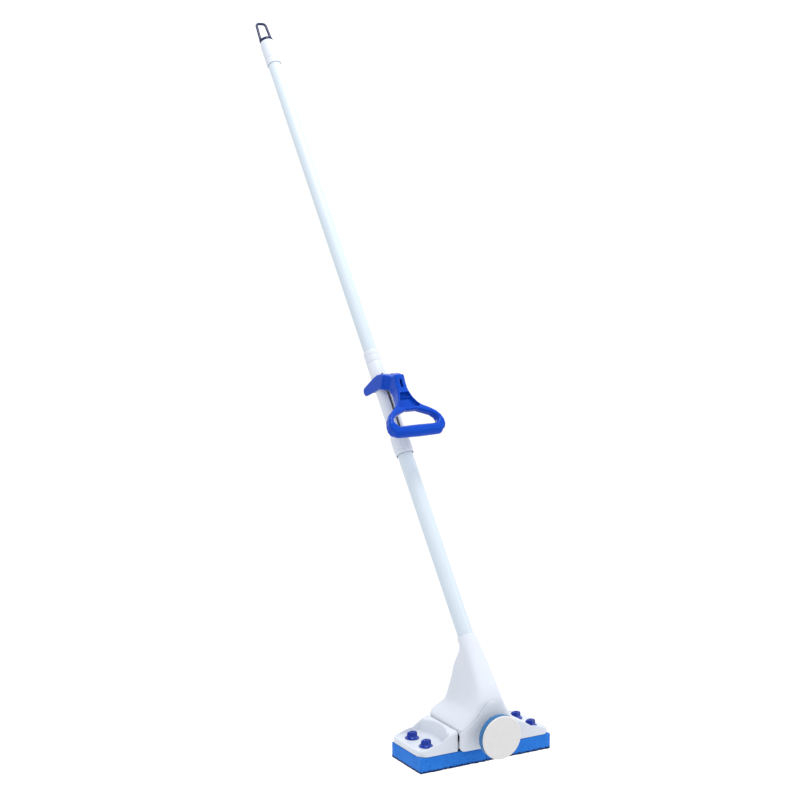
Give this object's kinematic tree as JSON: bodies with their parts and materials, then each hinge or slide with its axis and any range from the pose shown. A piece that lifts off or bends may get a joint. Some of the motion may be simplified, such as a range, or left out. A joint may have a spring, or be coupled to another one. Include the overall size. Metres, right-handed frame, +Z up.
{
  "type": "folding sponge mop",
  "caption": "Butterfly sponge mop: blue sponge on folding white wings under a tapered housing, D-grip squeeze lever on a long pole, round front scrubbing pad and hanging loop.",
  "frame": {"origin": "at floor level in the middle of the mop's bounding box, with the sponge flat on the floor and the pole leaning back", "axes": "+Z up from the floor, +X across the head to its right wing, +Y back, the way the pole leans; the scrubbing pad faces -Y"},
  "size_m": [0.2336, 0.8182, 1.1257],
  "materials": {
    "white_plastic": "smooth satin white polypropylene mouldings with a cool tint",
    "coated_tube": "white stoved coating on thin steel tube",
    "blue_plastic": "glossy royal blue moulding",
    "navy_plastic": "deep blue moulding",
    "sponge": "open-cell blue cleaning sponge, matt",
    "foam": "blue backing foam, matt",
    "white_pad": "matt white scouring foam",
    "steel": "bright zinc-plated steel",
    "dark_plate": "dark painted sheet that the sponge is bonded to",
    "nylon": "natural nylon"
  },
  "bodies": {
    "root": {"upper_tube": "coated_tube", "lower_tube": "coated_tube", "slide_sleeve": "white_plastic", "joint_ring": "white_plastic", "lower_collar": "white_plastic", "cap_sleeve": "white_plastic", "hang_loop": "navy_plastic", "rod_guide_upper": "nylon", "rod_guide_lower": "nylon", "left_pivot_pin": "steel", "right_pivot_pin": "steel", "head_housing": "white_plastic", "front_apron": "white_plastic", "scrubber_arm": "white_plastic", "scrubber_holder": "white_plastic", "scrubber_foam": "foam", "scrubber_face": "white_pad", "left_hinge_pin": "steel", "right_hinge_pin": "steel", "tube_screw": "steel"},
    "lever": {"squeeze_lever": "blue_plastic", "lever_crank_pin": "steel"},
    "pull_rod": {"pull_rod": "steel", "rod_lug": "steel", "crosshead": "nylon"},
    "left_wing": {"left_tray": "white_plastic", "left_backing_plate": "dark_plate", "left_sponge": "sponge", "left_front_stud": "steel", "left_rear_stud": "steel", "left_crank_pin": "steel"},
    "left_front_knob": {"left_front_knob": "navy_plastic"},
    "left_rear_knob": {"left_rear_knob": "navy_plastic"},
    "right_wing": {"right_tray": "white_plastic", "right_backing_plate": "dark_plate", "right_sponge": "sponge", "right_front_stud": "steel", "right_rear_stud": "steel", "right_crank_pin": "steel"},
    "right_front_knob": {"right_front_knob": "navy_plastic"},
    "right_rear_knob": {"right_rear_knob": "navy_plastic"}
  },
  "joints": [
    {"name": "lever_squeeze", "type": "hinge", "parent": "root", "child": "lever", "pos_m": [0, -0.03539, 0.53668], "axis": [-1, 0, 0], "range_deg": [0, 60]},
    {"name": "rod_pull", "type": "slide", "parent": "root", "child": "pull_rod", "axis": [0, 0.6018, 0.7986], "range_m": [0, 0.02575]},
    {"name": "left_wing_fold", "type": "hinge", "parent": "root", "child": "left_wing", "pos_m": [-0.022, -0.32081, 0.04], "axis": [0, -1, 0], "range_deg": [0, 90], "deforming": ["left_sponge"]},
    {"name": "left_front_knob_turn", "type": "hinge", "parent": "left_wing", "child": "left_front_knob", "pos_m": [-0.094, -0.34181, 0.0343], "axis": [0, 0, 1], "continuous": true},
    {"name": "left_rear_knob_turn", "type": "hinge", "parent": "left_wing", "child": "left_rear_knob", "pos_m": [-0.094, -0.29981, 0.0343], "axis": [0, 0, 1], "continuous": true},
    {"name": "right_wing_fold", "type": "hinge", "parent": "root", "child": "right_wing", "pos_m": [0.022, -0.32081, 0.04], "axis": [0, 1, 0], "range_deg": [0, 90], "deforming": ["right_sponge"]},
    {"name": "right_front_knob_turn", "type": "hinge", "parent": "right_wing", "child": "right_front_knob", "pos_m": [0.094, -0.34181, 0.0343], "axis": [0, 0, 1], "continuous": true},
    {"name": "right_rear_knob_turn", "type": "hinge", "parent": "right_wing", "child": "right_rear_knob", "pos_m": [0.094, -0.29981, 0.0343], "axis": [0, 0, 1], "continuous": true}
  ],
  "couplings": [
    {"joint": "rod_pull", "follows": "lever_squeeze", "m_per_rad": 0.024584},
    {"joint": "left_wing_fold", "follows": "lever_squeeze", "ratio": 1.5},
    {"joint": "right_wing_fold", "follows": "lever_squeeze", "ratio": 1.5}
  ]
}
